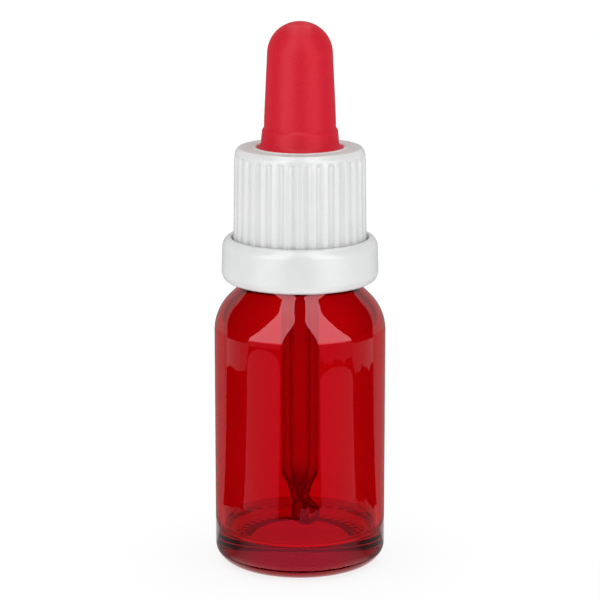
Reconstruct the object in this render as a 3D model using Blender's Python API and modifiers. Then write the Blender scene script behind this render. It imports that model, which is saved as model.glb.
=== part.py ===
"""Ten millilitre dropper bottle: a glass bottle with a screw neck, a ribbed cap, the tamper ring
left under it, and a dropper made of a rubber bulb and a bent glass pipette.

The bottle stands on z = 0 with its axis on the Z axis. Sizes are in millimetres and are turned
into metres where a mesh is made. The thread is right-handed: turning the cap anticlockwise, seen
from above, raises it by one pitch a turn.
"""
import math

import bmesh
import bpy
from mathutils import Matrix

MM = 0.001
MERGE = 0.00001
GAP = 0.3                        # clearance left between pieces that touch on the real object

# Bottle body
BODY_R = 12.4
WALL = 1.25
HEEL_R = 2.6
STANDING_RING_W = 1.5
PUSH_UP = 0.7
FLOOR_Z = 4.6
FLOOR_R = 8.9
FLOOR_FILLET_H = 1.4
SHOULDER_Z = 34.4                # where the straight side ends
SHOULDER_ARC_R = 7.0
SHOULDER_ARC_END = 55.0          # degrees above the horizontal
NECK_BASE_Z = 41.8

# Neck finish: bore, tamper bead and an 18 mm thread of 3 mm pitch
BORE_R = 5.0
BORE_BASE_Z = 43.0
NECK_R = 7.6
NECK_BASE_R = 8.1
MOUTH_Z = 58.3
BEAD_R = 8.9
BEAD_LOW_Z = 45.05
BEAD_HIGH_Z = 46.6
THREAD_PITCH = 3.0
THREAD_R = 8.3
GLASS_THREAD_LOW_Z = 51.3
GLASS_THREAD_TURNS = 1.75

# Tamper ring
RING_R_TOP = 11.17
RING_R_LOW = 11.32
RING_LOW_Z = 41.85
RING_BEVEL_Z = 43.1
RING_SHOULDER_Z = 47.2
RING_TOP_Z = 48.25
RING_LIP_R = 9.92                # the lip round the cap's skirt
RING_WALL = 1.05
SNAP_R = 8.6
BRIDGES = 8
BRIDGE_W = 0.7
BRIDGE_H = 0.5
BRIDGE_REACH_R = 9.25

# Screw cap
CAP_LOW_Z = 47.5                 # the skirt reaches a little way into the ring
CAP_TOP_Z = 61.15
CAP_EDGE_Z = 60.4                # lower edge of the sloping rim round the top
CAP_TOP_R = 8.85
CAP_PLATE = 1.1
CAP_BORE_R = THREAD_R + GAP
CAP_HOLE_R = 6.3
RIBS = 32
RIB_R_TOP = 9.42
RIB_R_LOW = 9.58
RIB_DEPTH = 0.28
RIB_WIDTH_SHARE = 0.56           # of the pitch from one rib to the next
RIB_TOP_Z = 60.1
CAP_THREAD_LOW_Z = GLASS_THREAD_LOW_Z - THREAD_PITCH / 2
CAP_THREAD_TURNS = 1.75

# Rubber bulb
FLANGE_R = 8.1
FLANGE_H = 1.0
BULB_NECK_R = CAP_HOLE_R - GAP
COLLAR_LOW_R = 5.64
COLLAR_TOP_R = 5.42
COLLAR_TOP_Z = 63.7
BULB_LOW_R = 5.14
BULB_HIGH_R = 4.68
BULB_LOW_Z = 64.1
BULB_HIGH_Z = 74.45
BULB_TOP_Z = 79.1
BULB_WALL = 1.3
SLEEVE_TOP_Z = 63.4

# Glass pipette
PIPETTE_R = 2.75
PIPETTE_BORE_R = 1.6
PIPETTE_TOP_Z = 65.2
PIPETTE_BEAD_R = 3.2
TAPER_TOP_Z = 13.2
NECKING_Z = 9.3
NECKING_R = 1.36
BALL_R = 2.12
BALL_Z = FLOOR_Z + GAP + BALL_R
BALL_OFFSET = 0.85               # sideways, along +X
CAPILLARY_R = 0.4

BODY_STEPS = 48
CAP_STEPS = 64
BULB_STEPS = 32
PIPETTE_STEPS = 24
THREAD_STEPS = 40                # sections in one turn of a thread

GLASS_RED = (0.42, 0.002, 0.006)
CLEAR_GLASS = (0.92, 0.94, 0.94)
RUBBER_RED = (0.65, 0.012, 0.03)
WHITE = (0.86, 0.87, 0.88)


def clear_scene():
    for thing in list(bpy.data.objects):
        bpy.data.objects.remove(thing, do_unlink=True)


def new_collection(name):
    group = bpy.data.collections.new(name)
    bpy.context.scene.collection.children.link(group)
    return group


def arc(centre_r, centre_z, radius, start, end, steps):
    """Points on an arc in the radius-height plane, angles in degrees from the outward direction."""
    points = []
    for i in range(steps + 1):
        angle = math.radians(start + (end - start) * i / steps)
        points.append((centre_r + radius * math.cos(angle), centre_z + radius * math.sin(angle)))
    return points


def ellipse_corner(centre_r, centre_z, half_r, half_z, start, end, steps):
    """Points on a part of an ellipse, for corners that are wider than they are high."""
    points = []
    for i in range(steps + 1):
        angle = math.radians(start + (end - start) * i / steps)
        points.append((centre_r + half_r * math.cos(angle), centre_z + half_z * math.sin(angle)))
    return points


def baked(obj, group):
    """Replace an object's modifiers by the mesh that they make."""
    mesh = bpy.data.meshes.new_from_object(obj.evaluated_get(bpy.context.evaluated_depsgraph_get()))
    done = bpy.data.objects.new(obj.name, mesh)
    name = obj.name
    bpy.data.objects.remove(obj, do_unlink=True)
    done.name = name
    group.objects.link(done)
    return done


def turned(name, group, profile, steps, closed=False):
    """A solid turned round the Z axis from a profile of (radius, height) points in millimetres."""
    mesh = bpy.data.meshes.new(name)
    edges = [(i, i + 1) for i in range(len(profile) - 1)]
    if closed:
        edges.append((len(profile) - 1, 0))
    mesh.from_pydata([(r * MM, 0.0, z * MM) for r, z in profile], edges, [])
    obj = bpy.data.objects.new(name, mesh)
    group.objects.link(obj)
    screw = obj.modifiers.new("turn", "SCREW")
    screw.axis = "Z"
    screw.steps = steps
    screw.render_steps = steps
    screw.use_merge_vertices = True
    screw.merge_threshold = MERGE
    return baked(obj, group)


def helical_ridge(name, group, low_z, turns, root_r, crest_r, root_half, crest_half):
    """A thread ridge. Its height fades in and out over a quarter turn, so it is a loft of sections."""
    sections = round(turns * THREAD_STEPS)
    fade = THREAD_STEPS // 4
    form = bmesh.new()
    rows = []
    for i in range(sections + 1):
        angle = 2 * math.pi * i / THREAD_STEPS
        z = low_z + THREAD_PITCH * i / THREAD_STEPS
        height = min(1.0, (i + 1) / fade, (sections + 1 - i) / fade)
        crest = root_r + (crest_r - root_r) * height
        corners = [(root_r, -root_half), (crest, -crest_half), (crest, crest_half), (root_r, root_half)]
        row = []
        for r, dz in corners:
            place = (r * math.cos(angle) * MM, r * math.sin(angle) * MM, (z + dz) * MM)
            row.append(form.verts.new(place))
        rows.append(row)
    for low, high in zip(rows, rows[1:]):
        for k in range(4):
            form.faces.new((low[k], high[k], high[(k + 1) % 4], low[(k + 1) % 4]))
    form.faces.new(rows[0])
    form.faces.new(list(reversed(rows[-1])))
    bmesh.ops.recalc_face_normals(form, faces=form.faces)
    mesh = bpy.data.meshes.new(name)
    form.to_mesh(mesh)
    form.free()
    obj = bpy.data.objects.new(name, mesh)
    group.objects.link(obj)
    return obj


def hide_tool(obj):
    obj.hide_render = True
    obj.display_type = "WIRE"


def join_solid(obj, tool):
    boolean = obj.modifiers.new("join", "BOOLEAN")
    boolean.operation = "UNION"
    boolean.solver = "EXACT"
    boolean.object = tool
    hide_tool(tool)


def material(name, colour, roughness, transmission=0.0, ior=1.5):
    made = bpy.data.materials.new(name)
    made.use_nodes = True
    made.diffuse_color = (*colour, 1.0)
    shader = made.node_tree.nodes["Principled BSDF"]
    shader.inputs["Base Color"].default_value = (*colour, 1.0)
    shader.inputs["Roughness"].default_value = roughness
    shader.inputs["Metallic"].default_value = 0.0
    shader.inputs["Transmission Weight"].default_value = transmission
    shader.inputs["IOR"].default_value = ior
    return made


def finish_part(obj, look, sharp_angle=32.0):
    obj.data.materials.clear()
    obj.data.materials.append(look)
    obj.data.shade_smooth()
    obj.data.set_sharp_from_angle(angle=math.radians(sharp_angle))


def bottle_inside():
    """The cavity's wall, from the middle of the floor up to the mouth."""
    inner_r = BODY_R - WALL
    points = [(0.0, FLOOR_Z)]
    points += ellipse_corner(FLOOR_R, FLOOR_Z + FLOOR_FILLET_H, inner_r - FLOOR_R, FLOOR_FILLET_H,
                             -90, 0, 4)
    points += arc(BODY_R - SHOULDER_ARC_R, SHOULDER_Z, SHOULDER_ARC_R - WALL, 0, 62, 4)
    points += [(BORE_R + 1.0, BORE_BASE_Z - 1.4), (BORE_R + 0.25, BORE_BASE_Z - 0.6)]
    points += [(BORE_R, BORE_BASE_Z), (BORE_R, MOUTH_Z - 0.4), (BORE_R + 0.4, MOUTH_Z)]
    return points


def bottle_outside():
    """The outer wall, from the mouth down to the middle of the underside."""
    shoulder_r = BODY_R - SHOULDER_ARC_R
    ring_r = BODY_R - HEEL_R
    points = [(NECK_R - 0.4, MOUTH_Z), (NECK_R, MOUTH_Z - 0.4), (NECK_R, BEAD_HIGH_Z + 0.9)]
    points += [(BEAD_R - 0.35, BEAD_HIGH_Z), (BEAD_R, BEAD_HIGH_Z - 0.4), (BEAD_R, BEAD_LOW_Z + 0.3)]
    points += [(BEAD_R - 0.3, BEAD_LOW_Z), (NECK_BASE_R, BEAD_LOW_Z - 0.1)]
    points += [(NECK_BASE_R, NECK_BASE_Z + 0.5), (NECK_BASE_R + 0.35, NECK_BASE_Z - 0.6)]
    points += arc(shoulder_r, SHOULDER_Z, SHOULDER_ARC_R, SHOULDER_ARC_END, 0, 6)
    points += arc(ring_r, HEEL_R, HEEL_R, 0, -90, 4)
    points += [(ring_r - STANDING_RING_W, 0.0), (ring_r - STANDING_RING_W - 1.2, PUSH_UP * 0.8)]
    points += [(0.0, PUSH_UP)]
    return points


def make_bottle(parts, tools, look):
    bottle = turned("bottle", parts, bottle_inside() + bottle_outside(), BODY_STEPS)
    ridge = helical_ridge("bottle_thread", tools, GLASS_THREAD_LOW_Z, GLASS_THREAD_TURNS,
                          NECK_R - 0.25, THREAD_R, 0.85, 0.4)
    join_solid(bottle, ridge)
    finish_part(bottle, look)


def ring_profile():
    """Outer skin downwards, then back up inside round the snap lip that stays under the bead."""
    inner_r = RING_R_TOP - RING_WALL
    round_r = RING_R_TOP - RING_LIP_R - 0.15
    round_z = RING_TOP_Z - RING_SHOULDER_Z + 0.4
    points = [(RING_LIP_R, RING_TOP_Z - 0.12)]
    points += ellipse_corner(RING_R_TOP - round_r, RING_TOP_Z - round_z, round_r, round_z, 90, 0, 5)
    points += [(RING_R_LOW, RING_BEVEL_Z), (RING_R_LOW - 0.3, RING_LOW_Z + 0.3)]
    points += [(RING_R_LOW - 0.8, RING_LOW_Z)]
    points += [(inner_r - 0.15, RING_LOW_Z), (inner_r - 0.25, RING_LOW_Z + 0.5)]
    points += [(SNAP_R + 0.1, RING_LOW_Z + 1.8), (SNAP_R, RING_LOW_Z + 2.3)]
    points += [(SNAP_R + 0.25, RING_LOW_Z + 2.8)]
    points += [(inner_r, RING_LOW_Z + 1.9), (inner_r, RING_TOP_Z - 1.0), (RING_LIP_R, RING_TOP_Z - 0.7)]
    return points


def ring_of_blocks(name, group, count, size, place, phase=0.0):
    """Equal blocks round the Z axis. Size is (radial, sideways, up), and phase is a share of a step."""
    form = bmesh.new()
    for i in range(count):
        block = bmesh.ops.create_cube(form, size=1.0)["verts"]
        bmesh.ops.scale(form, verts=block, vec=[side * MM for side in size])
        bmesh.ops.translate(form, verts=block, vec=(place[0] * MM, 0.0, place[1] * MM))
        spin = Matrix.Rotation(2 * math.pi * (i + phase) / count, 3, "Z")
        bmesh.ops.rotate(form, verts=block, cent=(0, 0, 0), matrix=spin)
    mesh = bpy.data.meshes.new(name)
    form.to_mesh(mesh)
    form.free()
    obj = bpy.data.objects.new(name, mesh)
    group.objects.link(obj)
    return obj


def make_tamper_ring(parts, tools, look):
    """The ring with the stubs of the thin bridges that joined it to the cap when it was new."""
    ring = turned("tamper_ring", parts, ring_profile(), BODY_STEPS, closed=True)
    root_r = RING_R_TOP - RING_WALL + 0.3
    top_z = CAP_LOW_Z - GAP
    stubs = ring_of_blocks("bridge_stubs", tools, BRIDGES, (root_r - BRIDGE_REACH_R, BRIDGE_W, BRIDGE_H),
                           ((root_r + BRIDGE_REACH_R) / 2, top_z - BRIDGE_H / 2), phase=0.5)
    join_solid(ring, stubs)
    finish_part(ring, look)


def cap_profile():
    """The cap without its ribs: skirt, sloping rim, top with a hole, and the inside."""
    valley_top = RIB_R_TOP - RIB_DEPTH
    valley_low = RIB_R_LOW - RIB_DEPTH
    under_z = CAP_TOP_Z - CAP_PLATE
    points = [(CAP_HOLE_R, CAP_TOP_Z - 0.25), (CAP_HOLE_R + 0.25, CAP_TOP_Z)]
    points += [(CAP_TOP_R, CAP_TOP_Z), (RIB_R_TOP, CAP_EDGE_Z), (RIB_R_TOP, RIB_TOP_Z)]
    points += [(valley_top, RIB_TOP_Z - 0.3), (valley_low, CAP_LOW_Z)]
    points += [(CAP_BORE_R + 0.1, CAP_LOW_Z), (CAP_BORE_R, CAP_LOW_Z + 0.2), (CAP_BORE_R, under_z)]
    points += [(CAP_HOLE_R, under_z)]
    return points


def make_ribs(tools):
    """Grip ribs that stand on the skirt, leaning with its draft."""
    pitch = 2 * math.pi * RIB_R_LOW / RIBS
    depth = RIB_DEPTH + 0.2
    height = RIB_TOP_Z - CAP_LOW_Z
    ribs = ring_of_blocks("cap_ribs", tools, RIBS, (depth, pitch * RIB_WIDTH_SHARE, height),
                          (RIB_R_LOW - depth / 2, CAP_LOW_Z + height / 2))
    for corner in ribs.data.vertices:
        if corner.co.z > (CAP_LOW_Z + height / 2) * MM:
            lean = RIB_R_TOP / RIB_R_LOW
            corner.co.x *= lean
            corner.co.y *= lean
    return ribs


def make_screw_cap(parts, tools, look):
    cap = turned("screw_cap", parts, cap_profile(), CAP_STEPS, closed=True)
    join_solid(cap, make_ribs(tools))
    ridge = helical_ridge("cap_thread", tools, CAP_THREAD_LOW_Z, CAP_THREAD_TURNS,
                          CAP_BORE_R + 0.2, NECK_R + GAP, 0.6, 0.3)
    join_solid(cap, ridge)
    finish_part(cap, look)


def bulb_profile():
    """Dome, body, collar, the neck in the cap's hole, the sealing flange and the inside."""
    plate_under = CAP_TOP_Z - CAP_PLATE
    flange_top = plate_under - GAP
    flange_low = flange_top - FLANGE_H
    dome_r = BULB_HIGH_R
    dome_h = BULB_TOP_Z - BULB_HIGH_Z
    bore_r = PIPETTE_R + GAP
    points = list(reversed(ellipse_corner(0.0, BULB_HIGH_Z, dome_r, dome_h, 0, 90, 7)))
    points[0] = (0.0, BULB_TOP_Z)
    points += [(BULB_LOW_R, BULB_LOW_Z), (BULB_LOW_R + 0.1, COLLAR_TOP_Z + 0.05)]
    points += [(COLLAR_TOP_R, COLLAR_TOP_Z - 0.1)]
    points += [(COLLAR_LOW_R, CAP_TOP_Z + 0.1), (BULB_NECK_R, CAP_TOP_Z - 0.2), (BULB_NECK_R, flange_top)]
    points += [(FLANGE_R, flange_top), (FLANGE_R, flange_low)]
    points += [(bore_r + 0.3, flange_low), (bore_r, flange_low + 0.3), (bore_r, SLEEVE_TOP_Z - 0.4)]
    points += [(bore_r + 0.4, SLEEVE_TOP_Z), (BULB_LOW_R - BULB_WALL, SLEEVE_TOP_Z + 0.5)]
    points += ellipse_corner(0.0, BULB_HIGH_Z, dome_r - BULB_WALL, dome_h - BULB_WALL, 0, 90, 5)
    points[-1] = (0.0, BULB_TOP_Z - BULB_WALL)
    return points


def make_bulb(parts, look):
    bulb = turned("rubber_bulb", parts, bulb_profile(), BULB_STEPS)
    finish_part(bulb, look)


def pipette_profile():
    """A straight tube with a bead at its top, necked down to a ball with a fine bore."""
    ball = arc(0.0, BALL_Z, BALL_R, 44, -79, 7)
    points = [(PIPETTE_BORE_R + 0.3, PIPETTE_TOP_Z), (PIPETTE_R, PIPETTE_TOP_Z)]
    points += [(PIPETTE_BEAD_R, PIPETTE_TOP_Z - 0.35), (PIPETTE_BEAD_R, PIPETTE_TOP_Z - 0.7)]
    points += [(PIPETTE_R, PIPETTE_TOP_Z - 1.1), (PIPETTE_R, TAPER_TOP_Z)]
    points += [(PIPETTE_R - 0.25, TAPER_TOP_Z - 0.8), (PIPETTE_R - 0.87, TAPER_TOP_Z - 1.85)]
    points += [(NECKING_R + 0.22, NECKING_Z + 1.2), (NECKING_R, NECKING_Z)]
    points += ball
    points += [(CAPILLARY_R, BALL_Z - BALL_R + 0.3), (CAPILLARY_R, NECKING_Z)]
    points += [(CAPILLARY_R + 0.35, NECKING_Z + 1.3), (PIPETTE_BORE_R - 0.35, TAPER_TOP_Z - 0.7)]
    points += [(PIPETTE_BORE_R, TAPER_TOP_Z + 0.8), (PIPETTE_BORE_R, PIPETTE_TOP_Z - 0.3)]
    return points


def bend_tip(mesh):
    """Shift the ball sideways, smoothly from the necking down."""
    start = NECKING_Z + 0.4
    end = BALL_Z + 0.3
    for corner in mesh.vertices:
        share = min(1.0, max(0.0, (start - corner.co.z / MM) / (start - end)))
        corner.co.x += BALL_OFFSET * MM * share * share * (3.0 - 2.0 * share)


def make_pipette(parts, look):
    pipette = turned("glass_pipette", parts, pipette_profile(), PIPETTE_STEPS, closed=True)
    bend_tip(pipette.data)
    finish_part(pipette, look)


def main():
    clear_scene()
    parts = new_collection("medicine_dropper")
    tools = new_collection("cutters")
    white = material("white_plastic", WHITE, 0.32)
    make_bottle(parts, tools, material("red_glass", GLASS_RED, 0.02, transmission=1.0, ior=1.52))
    make_tamper_ring(parts, tools, white)
    make_screw_cap(parts, tools, white)
    make_bulb(parts, material("red_rubber", RUBBER_RED, 0.5))
    make_pipette(parts, material("clear_glass", CLEAR_GLASS, 0.02, transmission=1.0, ior=1.52))


main()
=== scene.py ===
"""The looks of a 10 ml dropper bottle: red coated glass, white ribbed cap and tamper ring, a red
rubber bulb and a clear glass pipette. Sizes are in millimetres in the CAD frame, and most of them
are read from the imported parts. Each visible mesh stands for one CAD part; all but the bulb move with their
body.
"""
import math

import bmesh
import bpy
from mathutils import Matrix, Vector


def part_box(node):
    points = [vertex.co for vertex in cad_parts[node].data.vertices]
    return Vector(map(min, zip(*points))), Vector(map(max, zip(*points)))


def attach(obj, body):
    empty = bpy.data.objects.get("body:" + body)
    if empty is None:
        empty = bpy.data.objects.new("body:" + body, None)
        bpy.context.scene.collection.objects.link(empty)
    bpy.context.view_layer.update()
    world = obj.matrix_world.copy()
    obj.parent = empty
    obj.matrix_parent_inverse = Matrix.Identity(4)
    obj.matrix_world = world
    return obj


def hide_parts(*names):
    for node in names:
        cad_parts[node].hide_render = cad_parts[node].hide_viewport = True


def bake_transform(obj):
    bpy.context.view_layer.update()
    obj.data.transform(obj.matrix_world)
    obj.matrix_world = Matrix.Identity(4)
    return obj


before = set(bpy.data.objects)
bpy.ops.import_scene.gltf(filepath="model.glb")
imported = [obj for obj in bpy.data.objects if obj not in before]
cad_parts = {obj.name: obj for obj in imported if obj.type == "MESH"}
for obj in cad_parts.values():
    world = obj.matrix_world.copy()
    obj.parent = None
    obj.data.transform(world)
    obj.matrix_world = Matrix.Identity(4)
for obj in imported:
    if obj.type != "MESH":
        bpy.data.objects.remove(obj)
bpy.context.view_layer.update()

MM = 0.001
FULL_TURN = 2.0 * math.pi


def box_mm(node):
    """A CAD part's lowest and highest corner in millimetres."""
    low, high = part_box(node)
    return low / MM, high / MM


BOTTLE_HIGH = box_mm("bottle")[1]
RING_LOW, RING_HIGH = box_mm("tamper_ring")
CAP_LOW, CAP_HIGH = box_mm("screw_cap")
BULB_LOW, BULB_HIGH = box_mm("rubber_bulb")
PIPETTE_LOW, PIPETTE_HIGH = box_mm("glass_pipette")

# Bottle
BODY_R = BOTTLE_HIGH.x
MOUTH_Z = BOTTLE_HIGH.z
WALL = 1.25                      # of the glass
INNER_R = BODY_R - WALL
HEEL_R = 2.6
STANDING_RING_W = 1.5
PUSH_UP = 0.7
FLOOR_Z = 4.6
FLOOR_R = 8.9
FLOOR_FILLET_H = 1.4
FLOOR_STEP = 0.14                # a low ridge where the flat floor ends
SHOULDER_Z = 34.4
SHOULDER_ARC_R = 7.0
SHOULDER_ARC_END = 45.0          # degrees from the body up to the slope
SLOPE_END_R = 9.0                # the straight slope above the shoulder's arc ends here
COAT_LOW_Z = SHOULDER_Z + 0.65   # the clear coat of the shoulder grows to its full share here
COAT_HIGH_Z = SHOULDER_Z + 0.9
NECK_FILLET_R = 2.0
BORE_R = 5.0
BORE_BASE_Z = 43.0
THREAD_ROWS = 46                 # of mesh along a thread
NECK_R = 7.6
NECK_BASE_R = 8.1
BEAD_R = 8.9
BEAD_LOW_Z = 45.05
BEAD_HIGH_Z = 46.6
THREAD_PITCH = 3.0
THREAD_RISE = 0.7
GLASS_THREAD_LOW_Z = 51.3
THREAD_TURNS = 1.75
THREAD_HALF = 0.85
KNURLS = 40
KNURL_DEPTH = 0.12

# Tamper ring
RING_R_LOW = RING_HIGH.x
RING_R_TOP = RING_R_LOW - 0.15
RING_LOW_Z = RING_LOW.z
RING_TOP_Z = RING_HIGH.z
RING_LIP_R = 9.92
RING_WALL = 1.05
SNAP_R = 8.6
BRIDGES = 8
BRIDGE_REACH_R = 9.25
BRIDGE_W = 0.7
BRIDGE_H = 0.5
CLEARANCE = 0.3

# Screw cap
CAP_LOW_Z = CAP_LOW.z
CAP_TOP_Z = CAP_HIGH.z
CAP_TOP_R = 8.85
CAP_EDGE_R = 9.28
CAP_EDGE_Z = CAP_TOP_Z - 0.75
CAP_PLATE = 1.1
CAP_BORE_R = 8.6
CAP_HOLE_R = 6.3
HOLE_LIP_W = 0.4
HOLE_LIP_H = 0.12
RIBS = 32
RIB_COLUMNS = 12
RIB_R_TOP = 9.45
RIB_R_LOW = 9.58
RIB_DEPTH = 0.3
RIB_TOP_Z = CAP_EDGE_Z - 0.1
CAP_THREAD_LOW_Z = GLASS_THREAD_LOW_Z - THREAD_PITCH / 2

# Rubber bulb
BULB_TOP_Z = BULB_HIGH.z
FLANGE_R = BULB_HIGH.x
FLANGE_LOW_Z = BULB_LOW.z
FLANGE_H = 1.0
BULB_NECK_R = CAP_HOLE_R - 0.12
COLLAR_LOW_R = 5.64
COLLAR_TOP_R = 5.42
COLLAR_TOP_Z = 63.7
BULB_LOW_R = 5.14
BULB_HIGH_R = 4.68
BULB_HIGH_Z = 74.45
BULB_WALL = 1.3
SLEEVE_TOP_Z = 63.4

# Pipette
PIPETTE_R = 2.75
PIPETTE_BORE_R = 1.6
PIPETTE_TOP_Z = PIPETTE_HIGH.z
PIPETTE_BEAD_R = 3.2
TAPER_TOP_Z = 13.2
TIP_SHADE_LOW_Z = TAPER_TOP_Z - 1.2     # painted shade: the glass colour is darkened towards the tip between these heights
TIP_SHADE_HIGH_Z = TAPER_TOP_Z + 1.3
NECKING_Z = 9.3
NECKING_R = 1.36
BALL_R = 2.12
BALL_Z = PIPETTE_LOW.z + BALL_R
BALL_OFFSET = 0.85
CAPILLARY_R = 0.4

TURN_COLUMNS = 192
FINE_COLUMNS = 256
PIPETTE_COLUMNS = 96


# ---------------------------------------------------------------- shapes

def arc(centre_r, centre_z, half_r, half_z, start, end, steps):
    """Points on an ellipse in the radius-height plane, angles in degrees from the outward side."""
    points = []
    for i in range(steps + 1):
        angle = math.radians(start + (end - start) * i / steps)
        points.append((centre_r + half_r * math.cos(angle), centre_z + half_z * math.sin(angle)))
    return points


def rounded(corners, steps=6):
    """A path through (radius, height, cut) corners, each rounded from its cut distance on."""
    path = []
    for i, (r, z, cut) in enumerate(corners):
        here = Vector((r, z))
        if cut == 0.0 or i in (0, len(corners) - 1):
            path.append((r, z))
            continue
        before = Vector(corners[i - 1][:2]) - here
        after = Vector(corners[i + 1][:2]) - here
        start = here + before.normalized() * min(cut, before.length * 0.49)
        end = here + after.normalized() * min(cut, after.length * 0.49)
        for k in range(steps + 1):
            s = k / steps
            point = start * (1 - s) ** 2 + here * (2 * s * (1 - s)) + end * s ** 2
            path.append((point.x, point.y))
    return path


def rows_between(low, high, count):
    """Evenly spaced points from one (radius, height) point to another, without the first."""
    return [(low[0] + (high[0] - low[0]) * i / count, low[1] + (high[1] - low[1]) * i / count)
            for i in range(1, count + 1)]


def smooth_step(value):
    """0 up to 0, 1 from 1 on, and a smooth rise between."""
    value = min(1.0, max(0.0, value))
    return value * value * (3.0 - 2.0 * value)


def turned_mesh(name, profile, columns, shape=None, closed=False):
    """A mesh turned round the Z axis. Shape may move a point, given its row, angle, radius, height."""
    form = bmesh.new()
    rows = []
    for k, (r, z) in enumerate(profile):
        if r < 1e-6:
            rows.append([form.verts.new((0.0, 0.0, z * MM))])
            continue
        row = []
        for i in range(columns):
            angle = FULL_TURN * i / columns
            at_r, at_z = shape(k, angle, r, z) if shape else (r, z)
            row.append(form.verts.new(Vector((at_r * math.cos(angle), at_r * math.sin(angle), at_z)) * MM))
        rows.append(row)
    pairs = list(zip(rows, rows[1:]))
    if closed:
        pairs.append((rows[-1], rows[0]))
    for low, high in pairs:
        for i in range(columns):
            j = (i + 1) % columns
            if len(low) == 1:
                form.faces.new((low[0], high[j], high[i]))
            elif len(high) == 1:
                form.faces.new((low[i], low[j], high[0]))
            else:
                form.faces.new((low[i], low[j], high[j], high[i]))
    bmesh.ops.recalc_face_normals(form, faces=form.faces)
    mesh = bpy.data.meshes.new(name)
    form.to_mesh(mesh)
    form.free()
    return mesh


def piece(name, mesh, *looks):
    """An object in the scene with smooth shading, weighted by face area so that flats stay flat."""
    obj = bpy.data.objects.new(name, mesh)
    bpy.context.scene.collection.objects.link(obj)
    for look in looks:
        mesh.materials.append(look)
    mesh.shade_smooth()
    normals = obj.modifiers.new("even_normals", "WEIGHTED_NORMAL")
    normals.weight = 60
    normals.keep_sharp = True
    return obj


def thread_height(angle, z, low_z, turns):
    """Share of a thread's full height at a place on the neck. It fades over a quarter turn."""
    best = 0.0
    for lap in range(math.ceil(turns) + 1):
        along = angle / FULL_TURN + lap
        if along > turns:
            continue
        across = abs(z - low_z - THREAD_PITCH * along) / THREAD_HALF
        fade = min(1.0, along / 0.25, (turns - along) / 0.25)
        if across < 1.0 and fade > 0.0:
            best = max(best, math.cos(across * math.pi / 2) ** 1.3 * smooth_step(fade))
    return best


# ---------------------------------------------------------------- materials

def new_material(name):
    """A new material with its node tree and its main shader."""
    made = bpy.data.materials.new(name)
    made.use_nodes = True
    tree = made.node_tree
    return made, tree, tree.nodes["Principled BSDF"]


def noise(tree, scale, detail=3.0, roughness=0.5, stretch=(1.0, 1.0, 1.0)):
    """A noise pattern in the object's own space, with scale in patterns a metre."""
    place = tree.nodes.new("ShaderNodeTexCoord")
    mapping = tree.nodes.new("ShaderNodeMapping")
    mapping.inputs["Scale"].default_value = stretch
    pattern = tree.nodes.new("ShaderNodeTexNoise")
    pattern.inputs["Scale"].default_value = scale
    pattern.inputs["Detail"].default_value = detail
    pattern.inputs["Roughness"].default_value = roughness
    tree.links.new(place.outputs["Object"], mapping.inputs["Vector"])
    tree.links.new(mapping.outputs["Vector"], pattern.inputs["Vector"])
    return pattern.outputs["Fac"]


def spread(tree, value, low, high, from_low=0.3, from_high=0.7):
    """A pattern turned into a range of numbers."""
    node = tree.nodes.new("ShaderNodeMapRange")
    node.inputs["From Min"].default_value = from_low
    node.inputs["From Max"].default_value = from_high
    node.inputs["To Min"].default_value = low
    node.inputs["To Max"].default_value = high
    tree.links.new(value, node.inputs["Value"])
    return node.outputs["Result"]


def two_colours(tree, value, low, high, from_low=0.3, from_high=0.7):
    """A pattern turned into a blend of two colours."""
    node = tree.nodes.new("ShaderNodeValToRGB")
    node.color_ramp.elements[0].position = from_low
    node.color_ramp.elements[0].color = (*low, 1.0)
    node.color_ramp.elements[1].position = from_high
    node.color_ramp.elements[1].color = (*high, 1.0)
    tree.links.new(value, node.inputs["Fac"])
    return node.outputs["Color"]


def bump(tree, shader, height, distance, strength=1.0):
    """A pattern felt as a small relief, with the distance in metres."""
    node = tree.nodes.new("ShaderNodeBump")
    node.inputs["Distance"].default_value = distance
    node.inputs["Strength"].default_value = strength
    tree.links.new(height, node.inputs["Height"])
    tree.links.new(node.outputs["Normal"], shader.inputs["Normal"])


INNER_GLASS_TINT = (0.97, 0.97, 0.97)
INNER_GLASS_RIM_SHADE = 0.72           # painted shade: the inner wall's colour is darkened to this share at its edges
PIPETTE_TINT = (0.86, 0.87, 0.88)
# painted shade: the pipette's colour is darkened to this share at its edges
PIPETTE_RIM_SHADE = 0.45
PIPETTE_TIP_SHADE = 0.65               # painted shade: the solid tip's colour is darkened to this share
GLASS_IOR = 1.52


def red_coated_glass():
    """The outside of the bottle: glass under a transparent red coat with a little unevenness."""
    made, tree, shader = new_material("red_coated_glass")
    density = noise(tree, 60.0, 2.0, stretch=(1.0, 1.0, 0.4))
    tree.links.new(two_colours(tree, density, (0.43, 0.0004, 0.0014), (0.50, 0.0008, 0.0026)),
                   shader.inputs["Base Color"])
    shader.inputs["Transmission Weight"].default_value = 1.0
    shader.inputs["IOR"].default_value = GLASS_IOR
    shader.inputs["Roughness"].default_value = 0.0
    shader.inputs["Specular IOR Level"].default_value = 1.0
    shader.inputs["Specular Tint"].default_value = (1.0, 0.05, 0.12, 1.0)
    place = tree.nodes.new("ShaderNodeTexCoord")
    height = tree.nodes.new("ShaderNodeSeparateXYZ")
    tree.links.new(place.outputs["Object"], height.inputs["Vector"])
    coat = spread(tree, height.outputs["Z"], 0.03, 0.55, COAT_LOW_Z * MM, COAT_HIGH_Z * MM)
    tree.links.new(coat, shader.inputs["Coat Weight"])
    shader.inputs["Coat Roughness"].default_value = 0.0
    ripple = noise(tree, 90.0, 2.0, stretch=(1.0, 1.0, 0.35))
    bump(tree, shader, ripple, 0.000014)
    return made


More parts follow.
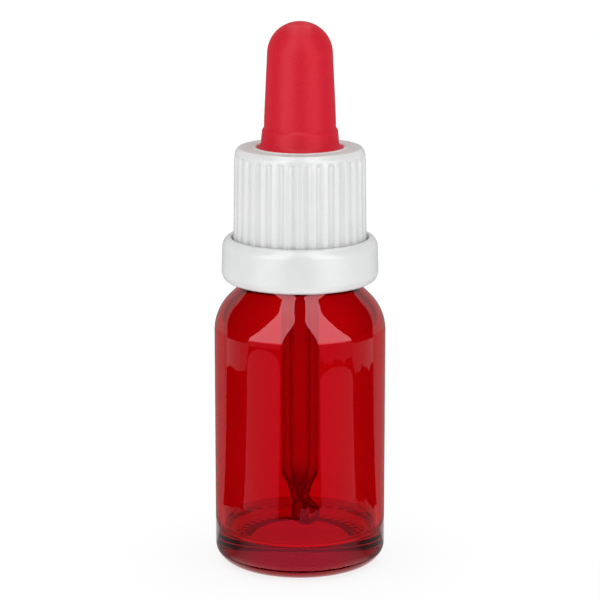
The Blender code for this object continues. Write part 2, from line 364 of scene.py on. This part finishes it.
def plain_glass(name, tint, rim_shade, tip_shade):
    """Colourless glass with faint ripples from drawing and blowing. Its colour is painted darker as shade:
    at edges seen side-on down to the rim share, and below the pipette's taper down to the tip share."""
    made, tree, shader = new_material(name)
    density = noise(tree, 80.0, 1.0)
    body = two_colours(tree, density, tint, tuple(min(1.0, part * 1.02) for part in tint))
    edge = tree.nodes.new("ShaderNodeLayerWeight")
    edge.inputs["Blend"].default_value = 0.5
    place = tree.nodes.new("ShaderNodeTexCoord")
    height = tree.nodes.new("ShaderNodeSeparateXYZ")
    tree.links.new(place.outputs["Object"], height.inputs["Vector"])
    # painted shade: the colour is darkened at edges seen side-on, down to the rim share
    painted_rim_shade = spread(tree, edge.outputs["Facing"], 1.0, rim_shade, 0.08, 0.45)
    # painted shade: the colour is darkened below the pipette's taper, down to the tip share
    painted_tip_shade = spread(tree, height.outputs["Z"], tip_shade, 1.0, TIP_SHADE_LOW_Z * MM, TIP_SHADE_HIGH_Z * MM)
    for share in (painted_rim_shade, painted_tip_shade):
        dimmed = tree.nodes.new("ShaderNodeVectorMath")
        dimmed.operation = "SCALE"
        tree.links.new(body, dimmed.inputs[0])
        tree.links.new(share, dimmed.inputs["Scale"])
        body = dimmed.outputs["Vector"]
    tree.links.new(body, shader.inputs["Base Color"])
    shader.inputs["Transmission Weight"].default_value = 1.0
    shader.inputs["IOR"].default_value = GLASS_IOR
    shader.inputs["Roughness"].default_value = 0.0
    ripple = noise(tree, 120.0, 1.0, stretch=(1.0, 1.0, 0.3))
    bump(tree, shader, ripple, 0.000006)
    return made


def white_plastic():
    """Moulded polypropylene: nearly white, satin, with a very fine surface grain."""
    made, tree, shader = new_material("white_plastic")
    shade = noise(tree, 180.0, 2.0)
    tree.links.new(two_colours(tree, shade, (0.79, 0.80, 0.80), (0.83, 0.835, 0.835)),
                   shader.inputs["Base Color"])
    grain = noise(tree, 2600.0, 2.0, 0.6)
    tree.links.new(spread(tree, grain, 0.20, 0.28), shader.inputs["Roughness"])
    shader.inputs["IOR"].default_value = 1.49
    shader.inputs["Subsurface Weight"].default_value = 0.5
    shader.inputs["Subsurface Radius"].default_value = (1.0, 1.0, 1.0)
    shader.inputs["Subsurface Scale"].default_value = 0.0008
    bump(tree, shader, grain, 0.000006, 0.6)
    return made


def red_rubber():
    """Soft red rubber: dull, with the fine speckled grain of a moulded bulb."""
    made, tree, shader = new_material("red_rubber")
    grain = noise(tree, 4200.0, 3.0, 0.65)
    tree.links.new(two_colours(tree, grain, (0.62, 0.003, 0.018), (0.72, 0.008, 0.030)),
                   shader.inputs["Base Color"])
    tree.links.new(spread(tree, grain, 0.34, 0.44), shader.inputs["Roughness"])
    shader.inputs["IOR"].default_value = 1.5
    shader.inputs["Specular IOR Level"].default_value = 0.13
    bump(tree, shader, grain, 0.00003, 0.7)
    return made


# ---------------------------------------------------------------- bottle

def bottle_inside():
    """The cavity's wall, from the middle of the floor up to the mouth."""
    path = [(0.0, FLOOR_Z), (FLOOR_R * 0.5, FLOOR_Z), (FLOOR_R - 0.5, FLOOR_Z)]
    path += rounded([(FLOOR_R - 0.5, FLOOR_Z, 0), (FLOOR_R - 0.25, FLOOR_Z, 0.12),
                     (FLOOR_R - 0.1, FLOOR_Z + FLOOR_STEP, 0.12),
                     (FLOOR_R + 0.15, FLOOR_Z + FLOOR_STEP, 0)], 4)[1:]
    path += arc(FLOOR_R, FLOOR_Z + FLOOR_FILLET_H, INNER_R - FLOOR_R, FLOOR_FILLET_H, -78, 0, 14)
    path += rows_between((INNER_R, FLOOR_Z + FLOOR_FILLET_H), (INNER_R, SHOULDER_Z - 0.4), 12)
    path += arc(BODY_R - SHOULDER_ARC_R, SHOULDER_Z, SHOULDER_ARC_R - WALL, SHOULDER_ARC_R - WALL, 0,
                SHOULDER_ARC_END, 18)
    slope = path[-1]
    path += rounded([(*slope, 0), (BORE_R + 1.2, slope[1] + (slope[0] - BORE_R - 1.2), 1.0),
                     (BORE_R, BORE_BASE_Z + 0.8, 1.2), (BORE_R, MOUTH_Z - 3.0, 0)], 8)[1:]
    path += rounded([(BORE_R, MOUTH_Z - 3.0, 0), (BORE_R, MOUTH_Z, 0.5),
                     (NECK_R - 1.2, MOUTH_Z, 0)], 6)[1:]
    return path


def bottle_outside():
    """The outer wall, from the mouth down to the middle of the underside."""
    ring_r = BODY_R - HEEL_R
    thread_top = GLASS_THREAD_LOW_Z + THREAD_PITCH * THREAD_TURNS + THREAD_HALF
    thread_low = GLASS_THREAD_LOW_Z - THREAD_HALF
    path = rounded([(NECK_R - 1.2, MOUTH_Z, 0), (NECK_R, MOUTH_Z, 0.6),
                    (NECK_R, thread_top + 0.05, 0)], 7)[1:]
    path += rows_between((NECK_R, thread_top + 0.05), (NECK_R, thread_low - 0.05), THREAD_ROWS)
    neck = [(NECK_R, thread_low - 0.05, 0), (NECK_R, BEAD_HIGH_Z + 0.55, 0.7), (BEAD_R, BEAD_HIGH_Z, 0.55),
            (BEAD_R, BEAD_LOW_Z, 0.45), (NECK_BASE_R, BEAD_LOW_Z - 0.1, 0.4)]
    shoulder = arc(BODY_R - SHOULDER_ARC_R, SHOULDER_Z, SHOULDER_ARC_R, SHOULDER_ARC_R,
                   SHOULDER_ARC_END, 0, 24)
    turn = math.radians(SHOULDER_ARC_END)
    slope_z = shoulder[0][1] + (shoulder[0][0] - SLOPE_END_R) / math.tan(turn)
    fillet = arc(SLOPE_END_R + NECK_FILLET_R * math.cos(turn), slope_z + NECK_FILLET_R * math.sin(turn),
                 NECK_FILLET_R, NECK_FILLET_R, 180, 180 + SHOULDER_ARC_END, 16)
    path += rounded([*neck, (NECK_BASE_R, fillet[0][1] + 0.9, 0.5), (*fillet[0], 0)], 8)[1:]
    path += fillet[1:] + rows_between(fillet[-1], shoulder[0], 4) + shoulder[1:]
    path += rows_between((BODY_R, SHOULDER_Z), (BODY_R, HEEL_R), 14)
    path += arc(ring_r, HEEL_R, HEEL_R, HEEL_R, 0, -90, 16)[1:]
    inner_ring = ring_r - STANDING_RING_W
    path += rounded([(ring_r, 0.0, 0), (inner_ring, 0.0, 0.35), (inner_ring - 1.3, PUSH_UP * 0.8, 0.6),
                     (0.0, PUSH_UP, 0)], 6)[1:]
    return path


def make_bottle():
    """One closed skin: the inside from the floor up, then the outside down. Its glass is clear
    inside and red outside."""
    inside = bottle_inside()
    profile = inside + bottle_outside()
    half_ring = STANDING_RING_W / 2
    mid_ring_r = BODY_R - HEEL_R - half_ring

    def shape(row, angle, r, z):
        if row > len(inside) and abs(r - NECK_R) < 1e-3 and z > BEAD_HIGH_Z:
            return r + THREAD_RISE * thread_height(angle, z, GLASS_THREAD_LOW_Z, THREAD_TURNS), z
        off_ring = abs(r - mid_ring_r)
        if z < 0.05 and off_ring < half_ring + 0.2:
            wave = max(0.0, math.cos(KNURLS * angle))
            return r, z + KNURL_DEPTH * wave * smooth_step(1.2 - off_ring / half_ring)
        return r, z

    mesh = turned_mesh("bottle_glass", profile, FINE_COLUMNS, shape)
    inner_glass = plain_glass("bottle_inner_glass", INNER_GLASS_TINT, INNER_GLASS_RIM_SHADE, 1.0)
    obj = piece("bottle_glass", mesh, red_coated_glass(), inner_glass)
    inner_faces = (len(inside) - 1) * FINE_COLUMNS
    for number, face in enumerate(mesh.polygons):
        face.material_index = 1 if number < inner_faces else 0
    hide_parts("bottle")
    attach(obj, "bottle")


# ---------------------------------------------------------------- tamper ring

def add_bridge_stubs(mesh, inner_r):
    """The torn ends of the thin bridges that once joined the ring to the cap."""
    form = bmesh.new()
    form.from_mesh(mesh)
    top_z = CAP_LOW_Z - CLEARANCE
    root_r = inner_r + 0.3
    for i in range(BRIDGES):
        made = bmesh.ops.create_cube(form, size=1.0)
        corners = made["verts"]
        turn = FULL_TURN * (i + 0.5) / BRIDGES
        for corner in corners:
            torn = 0.6 if corner.co.x < 0.0 else 1.0
            r = (root_r + BRIDGE_REACH_R) / 2 + corner.co.x * (root_r - BRIDGE_REACH_R)
            side = corner.co.y * BRIDGE_W * torn
            z = top_z - BRIDGE_H / 2 + corner.co.z * BRIDGE_H * torn
            corner.co = Vector((r * math.cos(turn) - side * math.sin(turn),
                                r * math.sin(turn) + side * math.cos(turn), z)) * MM
        edges = list({edge for corner in corners for edge in corner.link_edges})
        bmesh.ops.bevel(form, geom=edges, offset=0.08 * MM, segments=2, affect="EDGES")
    bmesh.ops.recalc_face_normals(form, faces=form.faces)
    form.to_mesh(mesh)
    form.free()


def make_tamper_ring(look):
    """A band with a rounded crown, a foot, a snap lip inside and the torn bridge stubs."""
    inner_r = RING_R_TOP - RING_WALL
    crown_z = RING_TOP_Z - 0.95
    outer = [(RING_LIP_R, RING_TOP_Z - 0.5, 0), (RING_LIP_R, RING_TOP_Z - 0.08, 0.1),
             (RING_LIP_R + 0.2, RING_TOP_Z, 0.12), (RING_R_TOP - 0.5, RING_TOP_Z - 0.2, 0.35),
             (RING_R_TOP, crown_z, 0.45), (RING_R_LOW, RING_LOW_Z + 1.2, 0.1),
             (RING_R_LOW - 0.12, RING_LOW_Z + 0.85, 0.12), (RING_R_LOW - 0.35, RING_LOW_Z + 0.3, 0.25),
             (RING_R_LOW - 0.9, RING_LOW_Z, 0.15)]
    inner = [(inner_r - 0.15, RING_LOW_Z, 0.1), (inner_r - 0.25, RING_LOW_Z + 0.5, 0.2),
             (SNAP_R, RING_LOW_Z + 1.8, 0.3), (SNAP_R, RING_LOW_Z + 2.4, 0.2),
             (inner_r, RING_LOW_Z + 2.2, 0.3), (inner_r, RING_TOP_Z - 1.0, 0.3),
             (RING_LIP_R, RING_TOP_Z - 0.8, 0.1)]
    profile = rounded(outer + inner + [outer[0]], 6)[:-1]
    mesh = turned_mesh("tamper_ring_white", profile, TURN_COLUMNS, closed=True)
    add_bridge_stubs(mesh, inner_r)
    obj = piece("tamper_ring_white", mesh, look)
    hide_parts("tamper_ring")
    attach(obj, "tamper_ring")
    obj.visible_glossy = False       # the shoulder mirrors the softboxes right up to it


# ---------------------------------------------------------------- screw cap

def rib_height(angle):
    """Share of a rib's height round the cap: a flat crown, rounded sides and a flat valley."""
    place = (angle / FULL_TURN * RIBS) % 1.0
    away = min(place, 1.0 - place)
    return smooth_step((0.36 - away) / 0.16)


def make_screw_cap(look):
    """The ribbed cap with its thread and the hole for the bulb."""
    under_z = CAP_TOP_Z - CAP_PLATE
    lip_r = CAP_HOLE_R + HOLE_LIP_W
    top = rounded([(CAP_HOLE_R, under_z + 0.1, 0), (CAP_HOLE_R, CAP_TOP_Z + HOLE_LIP_H, 0.14),
                   (lip_r, CAP_TOP_Z + HOLE_LIP_H, 0.1), (lip_r + 0.15, CAP_TOP_Z, 0.1),
                   (CAP_TOP_R, CAP_TOP_Z, 0.2), (CAP_EDGE_R, CAP_EDGE_Z + 0.1, 0.2),
                   (CAP_EDGE_R, RIB_TOP_Z, 0)], 6)
    skirt = rows_between((CAP_EDGE_R, RIB_TOP_Z), (RIB_R_TOP, RIB_TOP_Z - 0.9), 12)
    skirt += rows_between(skirt[-1], (RIB_R_LOW, CAP_LOW_Z + 0.3), 16)
    low = rounded([(*skirt[-1], 0), (RIB_R_LOW, CAP_LOW_Z, 0.12), (CAP_BORE_R + 0.15, CAP_LOW_Z, 0.1),
                   (CAP_BORE_R, CAP_LOW_Z + 0.25, 0.1), (CAP_BORE_R, CAP_THREAD_LOW_Z - 0.9, 0)], 5)[1:]
    thread_top = CAP_THREAD_LOW_Z + THREAD_PITCH * THREAD_TURNS + 0.9
    bore = rows_between(low[-1], (CAP_BORE_R, thread_top), THREAD_ROWS)
    under = rounded([(*bore[-1], 0), (CAP_BORE_R, under_z, 0.3), (CAP_HOLE_R + 0.1, under_z, 0)], 6)[1:]
    profile = top + skirt + low + bore + under
    first_skirt = len(top)
    first_low = first_skirt + len(skirt)
    first_bore = first_low + len(low)

    def shape(row, angle, r, z):
        if first_skirt <= row < first_low + 8:
            rise = smooth_step((RIB_TOP_Z - z) / 0.6)
            return r - RIB_DEPTH * rise * (1.0 - rib_height(angle)), z
        if first_bore <= row < first_bore + len(bore):
            return r - THREAD_RISE * thread_height(angle, z, CAP_THREAD_LOW_Z, THREAD_TURNS), z
        return r, z

    mesh = turned_mesh("screw_cap_white", profile, RIBS * RIB_COLUMNS, shape, closed=True)
    obj = piece("screw_cap_white", mesh, look)
    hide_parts("screw_cap")
    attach(obj, "cap")
    obj.visible_glossy = False       # as the ring


# ---------------------------------------------------------------- bulb

def dome(radius, height, start, end, steps):
    """Points on the bulb's dome, a superellipse that is a little fuller than an ellipse."""
    power = 2.0 / 2.04
    points = []
    for i in range(steps + 1):
        angle = math.radians(start + (end - start) * i / steps)
        r = radius * abs(math.cos(angle)) ** power
        z = BULB_HIGH_Z + height * abs(math.sin(angle)) ** power
        points.append((r, z))
    return points


def make_bulb(look):
    """The hollow bulb with its collar, gripping groove, sealing flange and sleeve."""
    flange_top = FLANGE_LOW_Z + FLANGE_H
    dome_h = BULB_TOP_Z - BULB_HIGH_Z
    bore_r = PIPETTE_R + CLEARANCE
    outside = dome(BULB_HIGH_R, dome_h, 90, 0, 26)
    outside[0] = (0.0, BULB_TOP_Z)
    outside += rows_between(outside[-1], (BULB_LOW_R - 0.02, COLLAR_TOP_Z + 1.6), 10)
    outside += rounded([(*outside[-1], 0), (BULB_LOW_R, COLLAR_TOP_Z + 0.35, 0.1),
                        (COLLAR_TOP_R, COLLAR_TOP_Z - 0.05, 0.12),
                        (COLLAR_LOW_R - 0.02, CAP_TOP_Z + 0.35, 0.3), (BULB_NECK_R, CAP_TOP_Z - 0.06, 0.1),
                        (BULB_NECK_R, flange_top, 0.1), (FLANGE_R, flange_top, 0.2),
                        (FLANGE_R, FLANGE_LOW_Z, 0.2),
                        (bore_r + 0.3, FLANGE_LOW_Z, 0.1), (bore_r, FLANGE_LOW_Z + 0.3, 0.2),
                        (bore_r, SLEEVE_TOP_Z - 0.2, 0.2), (bore_r + 0.4, SLEEVE_TOP_Z, 0.2),
                        (BULB_LOW_R - BULB_WALL, SLEEVE_TOP_Z + 0.6, 0.3),
                        (BULB_HIGH_R - BULB_WALL, BULB_HIGH_Z, 0)], 5)[1:]
    inside = dome(BULB_HIGH_R - BULB_WALL, dome_h - BULB_WALL, 0, 90, 12)[1:]
    inside[-1] = (0.0, BULB_TOP_Z - BULB_WALL)
    mesh = turned_mesh("rubber_bulb_red", outside + inside, TURN_COLUMNS)
    obj = piece("rubber_bulb_red", mesh, look)
    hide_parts("rubber_bulb")
    obj.visible_glossy = False       # keeps the bulb's pink mirror image off the cap's top
    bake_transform(obj)


# ---------------------------------------------------------------- pipette

def make_pipette(look):
    """A drawn tube that tapers to a ball, which is bent a little to the right."""
    ball = arc(0.0, BALL_Z, BALL_R, BALL_R, 44, -76, 26)
    outer = [(PIPETTE_BORE_R + 0.2, PIPETTE_TOP_Z, 0), (PIPETTE_R, PIPETTE_TOP_Z, 0.3),
             (PIPETTE_BEAD_R, PIPETTE_TOP_Z - 0.5, 0.3), (PIPETTE_R, PIPETTE_TOP_Z - 1.1, 0.4),
             (PIPETTE_R, TAPER_TOP_Z, 1.2), (PIPETTE_R - 0.25, TAPER_TOP_Z - 0.8, 0.4),
             (PIPETTE_R - 0.87, TAPER_TOP_Z - 1.85, 0.6), (NECKING_R + 0.22, NECKING_Z + 1.2, 0.6),
             (NECKING_R, NECKING_Z, 0.5), (*ball[0], 0)]
    inner = [(*ball[-1], 0), (CAPILLARY_R, BALL_Z - BALL_R + 0.1, 0.15), (CAPILLARY_R, NECKING_Z, 1.0),
             (CAPILLARY_R + 0.35, NECKING_Z + 1.3, 0.6), (PIPETTE_BORE_R - 0.35, TAPER_TOP_Z - 0.7, 0.5),
             (PIPETTE_BORE_R, TAPER_TOP_Z + 0.8, 1.0), (PIPETTE_BORE_R, PIPETTE_TOP_Z, 0.3),
             (PIPETTE_BORE_R + 0.2, PIPETTE_TOP_Z, 0)]
    profile = rounded(outer, 8) + ball[1:] + rounded(inner, 8)[1:-1]
    mesh = turned_mesh("pipette_glass", profile, PIPETTE_COLUMNS, closed=True)
    start = (NECKING_Z + 0.4) * MM
    end = (BALL_Z + 0.3) * MM
    for corner in mesh.vertices:
        corner.co.x += BALL_OFFSET * MM * smooth_step((start - corner.co.z) / (start - end))
    obj = piece("pipette_glass", mesh, look)
    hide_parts("glass_pipette")
    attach(obj, "dropper")


# ---------------------------------------------------------------- camera, floor and light

CAMERA_DISTANCE = 0.360          # metres
CAMERA_ELEVATION = 12.8          # degrees
AIM_Z = 0.03875
LENS = 149.3
STAGE_FLOOR_R = 4.0
FLOOR_GREY = 0.22
FLOOR_GLOW = 0.82

# Brightness of the surroundings by kind of ray
WORLD_DIFFUSE = 0.92
WORLD_SIDE = 0.48                # in reflections, beside the bottle
WORLD_GLOSSY = 0.24              # in reflections, behind the bottle
WORLD_THROUGH = 1.0              # through glass, looking back and level
WORLD_THROUGH_LOW = 0.3          # through glass, looking forward or up

# A direction's share of an axis decides which brightness it sees, from dark to bright
WORLD_AXIS = (0.0, 1.0, -0.4)
WORLD_DARK = 0.40
WORLD_BRIGHT = 0.45
WORLD_BEHIND = 0.85
THROUGH_AXIS = (0.0, 1.0, -1.2)
THROUGH_DARK = 0.72
THROUGH_BRIGHT = 0.92

# Strengths of the cards, and of the fading ones in front of the bottle and beside it
UNDER_CARD = 1.0
BEHIND_CARD = 0.7
BASE_CARD = (3.4, 0.35)
NEAR_CARD = (1.8, 0.4)
BAND_CARD = 1.3
FAR_CARD = 0.9
SOFTBOX = 4.2
FADE_FROM = -0.9                 # shares of the way towards the back between which they fade
FADE_TO = -0.35

# Distances on the table in millimetres, and azimuths from the front in degrees
TABLE_START = BODY_R + 0.8
BASE_END = 27.0
BAND_START = 41.0
BEHIND_END = 24.0
SIDE_END = 205.0
TABLE_END = 480.0
STRIP_NEAR_AZ = 25.5             # the bands shine from here
STRIP_FAR_AZ = 72.0              # to here
SIDE_AZ = 112.0                  # the dark front ends here
SOFTBOX_OVER = (-36.0, 128.0)    # from below the front over the top
SOFTBOX_DISTANCE = 0.5           # metres


def make_camera():
    """A long lens in front of the bottle, looking a little down."""
    data = bpy.data.cameras.new("camera")
    data.lens = LENS
    data.sensor_width = 36.0
    data.clip_start = 0.01
    data.clip_end = 20.0
    camera = bpy.data.objects.new("camera", data)
    bpy.context.scene.collection.objects.link(camera)
    tilt = math.radians(CAMERA_ELEVATION)
    camera.location = (0.0, -CAMERA_DISTANCE * math.cos(tilt), AIM_Z + CAMERA_DISTANCE * math.sin(tilt))
    camera.rotation_euler = (math.radians(90.0) - tilt, 0.0, 0.0)
    bpy.context.scene.camera = camera


def make_floor():
    """A matt floor that glows nearly white, so the shadow on it stays faint."""
    mesh = bpy.data.meshes.new("floor")
    form = bmesh.new()
    bmesh.ops.create_circle(form, cap_ends=True, radius=STAGE_FLOOR_R, segments=96)
    form.to_mesh(mesh)
    form.free()
    floor = bpy.data.objects.new("floor", mesh)
    bpy.context.scene.collection.objects.link(floor)
    made, tree, shader = new_material("floor")
    shader.inputs["Base Color"].default_value = (FLOOR_GREY, FLOOR_GREY, FLOOR_GREY, 1.0)
    shader.inputs["Roughness"].default_value = 0.9
    shader.inputs["Specular IOR Level"].default_value = 0.0
    shader.inputs["Emission Color"].default_value = (1.0, 1.0, 1.0, 1.0)
    shader.inputs["Emission Strength"].default_value = FLOOR_GLOW
    mesh.materials.append(made)
    floor.location.z = -0.00005
    floor.visible_glossy = False


def emitter(name, strength):
    """A material that only gives off white light."""
    made = bpy.data.materials.new(name)
    made.use_nodes = True
    tree = made.node_tree
    tree.nodes.clear()
    glow = tree.nodes.new("ShaderNodeEmission")
    glow.inputs["Color"].default_value = (1.0, 1.0, 1.0, 1.0)
    glow.inputs["Strength"].default_value = strength
    out = tree.nodes.new("ShaderNodeOutputMaterial")
    tree.links.new(glow.outputs["Emission"], out.inputs["Surface"])
    return made


def fading_emitter(name, strengths):
    """White light that is strongest in front of the bottle and fades round to its sides."""
    made = emitter(name, strengths[0])
    tree = made.node_tree
    place = tree.nodes.new("ShaderNodeTexCoord")
    outward = tree.nodes.new("ShaderNodeVectorMath")
    outward.operation = "NORMALIZE"
    tree.links.new(place.outputs["Object"], outward.inputs[0])
    split = tree.nodes.new("ShaderNodeSeparateXYZ")
    tree.links.new(outward.outputs["Vector"], split.inputs["Vector"])
    fade = spread(tree, split.outputs["Y"], *strengths, FADE_FROM, FADE_TO)
    tree.links.new(fade, tree.nodes["Emission"].inputs["Strength"])
    return made


def card(name, place, us, reach, look, through=False, steps=60):
    """A reflector that only reflections show, or also what is seen through glass. Place turns (u, v)
    into a point, and reach gives the lowest and highest v at a u."""
    form = bmesh.new()
    rows = []
    for i in range(steps + 1):
        u = us[0] + (us[1] - us[0]) * i / steps
        low, high = reach(u)
        rows.append([form.verts.new(place(u, low + (high - low) * k / 12)) for k in range(13)])
    for low, high in zip(rows, rows[1:]):
        for k in range(12):
            form.faces.new((low[k], low[k + 1], high[k + 1], high[k]))
    mesh = bpy.data.meshes.new(name)
    form.to_mesh(mesh)
    form.free()
    mesh.materials.append(look)
    obj = bpy.data.objects.new(name, mesh)
    bpy.context.scene.collection.objects.link(obj)
    obj.visible_camera = False
    obj.visible_diffuse = False
    obj.visible_shadow = False
    obj.visible_volume_scatter = False
    obj.visible_transmission = through


def on_table(height):
    """A point on the table by azimuth from the front, in degrees, and distance from the axis, in mm."""
    def place(azimuth, distance):
        angle = math.radians(azimuth)
        return distance * MM * math.sin(angle), -distance * MM * math.cos(angle), height * MM
    return place


def over_the_top(distance):
    """A point round the shoulder by angle to the side, and angle from the front up and over."""
    def place(over, side):
        lateral, up = math.radians(side), math.radians(over)
        flat = distance * math.cos(lateral)
        return distance * math.sin(lateral), -flat * math.cos(up), SHOULDER_Z * MM + flat * math.sin(up)
    return place


def between(low, high):
    """The same reach all along a card."""
    return lambda u: (low, high)


def ragged(azimuth, size):
    """An uneven edge, as a sum of three waves."""
    angle = math.radians(azimuth)
    return size * (math.sin(17 * angle) + 0.6 * math.sin(41 * angle + 1.0) + 0.4 * math.sin(97 * angle + 2.0))


def near_reach(front, side, edge):
    """The table close to the bottle, whose far edge comes in towards the sides."""
    def reach(azimuth):
        share = smooth_step((abs(azimuth) - STRIP_FAR_AZ) / (SIDE_AZ - STRIP_FAR_AZ))
        return BASE_END, front + (side - front) * share + ragged(azimuth, edge)
    return reach


def band_reach(foot, top):
    """A band on the table that ends in a round arch."""
    def reach(azimuth):
        share = (abs(azimuth) - STRIP_NEAR_AZ) / (STRIP_FAR_AZ - STRIP_NEAR_AZ)
        arch = max(0.0, 4.0 * share * (1.0 - share)) ** 0.4
        return BAND_START, foot + (top - foot) * arch
    return reach


def far_reach(gap, outer, edge):
    """The far part of the table: beyond the arches in the middle, and nearer at the sides."""
    def reach(azimuth):
        side = smooth_step((abs(azimuth) - STRIP_FAR_AZ + 4.0) / 8.0)
        near = gap + (outer - gap) * side
        far = TABLE_END + (SIDE_END - TABLE_END) * side
        return near + ragged(azimuth, edge), far
    return reach


def softbox_reach(side):
    """A softbox that is wide and far apart from the other low down, and narrow overhead."""
    def reach(over):
        inner = 5.5 + 17.5 * smooth_step((58.0 - over) / 60.0)
        outer = 17.5 + 53.0 * smooth_step((92.0 - over) / 95.0)
        return side * inner, side * outer
    return reach


def make_world():
    """White behind the bottle; reflections see a dark front and dimmer white behind."""
    world = bpy.data.worlds.new("studio")
    bpy.context.scene.world = world
    world.use_nodes = True
    tree = world.node_tree
    path = tree.nodes.new("ShaderNodeLightPath")
    place = tree.nodes.new("ShaderNodeTexCoord")

    def share_along(axis):
        along = tree.nodes.new("ShaderNodeVectorMath")
        along.operation = "DOT_PRODUCT"
        along.inputs[1].default_value = axis
        tree.links.new(place.outputs["Generated"], along.inputs[0])
        return along.outputs["Value"]

    behind = spread(tree, share_along(WORLD_AXIS), 0.0, 1.0, WORLD_DARK, WORLD_BRIGHT)
    through = spread(tree, share_along(THROUGH_AXIS), WORLD_THROUGH_LOW, WORLD_THROUGH,
                     THROUGH_DARK, THROUGH_BRIGHT)
    side_glow = spread(tree, share_along(WORLD_AXIS), WORLD_SIDE, WORLD_GLOSSY, WORLD_BRIGHT, WORLD_BEHIND)

    def by_ray(value, other, ray):
        mix = tree.nodes.new("ShaderNodeMix")
        mix.data_type = "FLOAT"
        tree.links.new(path.outputs[ray], mix.inputs["Factor"])
        for socket, given in ((mix.inputs["A"], value), (mix.inputs["B"], other)):
            if isinstance(given, float):
                socket.default_value = given
            else:
                tree.links.new(given, socket)
        return mix.outputs["Result"]

    glossy = tree.nodes.new("ShaderNodeMath")
    glossy.operation = "MULTIPLY"
    tree.links.new(behind, glossy.inputs[0])
    tree.links.new(side_glow, glossy.inputs[1])
    level = by_ray(WORLD_DIFFUSE, glossy.outputs["Value"], "Is Glossy Ray")
    level = by_ray(level, through, "Is Transmission Ray")
    level = by_ray(level, 1.0, "Is Camera Ray")
    back = tree.nodes["Background"]
    back.inputs["Color"].default_value = (1.0, 1.0, 1.0, 1.0)
    tree.links.new(level, back.inputs["Strength"])


def make_light():
    """The surroundings, and the cards that stand for the table and two softboxes in reflections."""
    make_world()
    dark = emitter("dark_card", 0.0)
    band = emitter("band_card", BAND_CARD)
    far = emitter("far_card", FAR_CARD)
    soft = emitter("softbox", SOFTBOX)
    base = fading_emitter("base_card", BASE_CARD)
    near = fading_emitter("near_card", NEAR_CARD)
    under = emitter("under_card", UNDER_CARD)
    behind = emitter("behind_card", BEHIND_CARD)
    table = on_table(0.2)
    whole_front = (-SIDE_AZ, SIDE_AZ)
    card("dark_table", on_table(0.1), whole_front, between(TABLE_START, TABLE_END), dark)
    card("under_bottle", on_table(-0.02), (-180, 180), between(0.1, BODY_R + 0.2), under, through=True)
    card("base_table", table, whole_front, between(TABLE_START, BASE_END), base)
    card("near_table_left", table, (-SIDE_AZ, 0), near_reach(41.0, 37.0, 0.3), near)
    card("near_table_right", table, (0, SIDE_AZ), near_reach(46.0, 36.0, 1.2), near)
    card("behind_table", table, (SIDE_AZ, 360 - SIDE_AZ), between(BODY_R + 0.6, BEHIND_END), behind,
         through=True)
    card("far_table_left", table, (-SIDE_AZ, -STRIP_NEAR_AZ), far_reach(153.0, 127.0, 0.8), far)
    card("far_table_right", table, (STRIP_NEAR_AZ, SIDE_AZ), far_reach(139.0, 128.0, 2.2), far)
    card("band_left", table, (-STRIP_FAR_AZ, -STRIP_NEAR_AZ), band_reach(132.0, 149.5), band)
    card("band_right", table, (STRIP_NEAR_AZ, STRIP_FAR_AZ), band_reach(122.0, 134.5), band)
    for side in (-1, 1):
        card("softbox", over_the_top(SOFTBOX_DISTANCE), SOFTBOX_OVER, softbox_reach(side), soft)


def render_look():
    """Plain colours, and enough bounces for glass inside glass."""
    scene = bpy.context.scene
    scene.view_settings.view_transform = "Standard"
    scene.cycles.max_bounces = 24
    scene.cycles.transmission_bounces = 24
    scene.cycles.glossy_bounces = 12
    scene.cycles.use_denoising = True


def main():
    render_look()
    white = white_plastic()
    make_bottle()
    make_tamper_ring(white)
    make_screw_cap(white)
    make_bulb(red_rubber())
    make_pipette(plain_glass("pipette_glass", PIPETTE_TINT, PIPETTE_RIM_SHADE, PIPETTE_TIP_SHADE))
    make_floor()
    make_light()
    make_camera()


main()
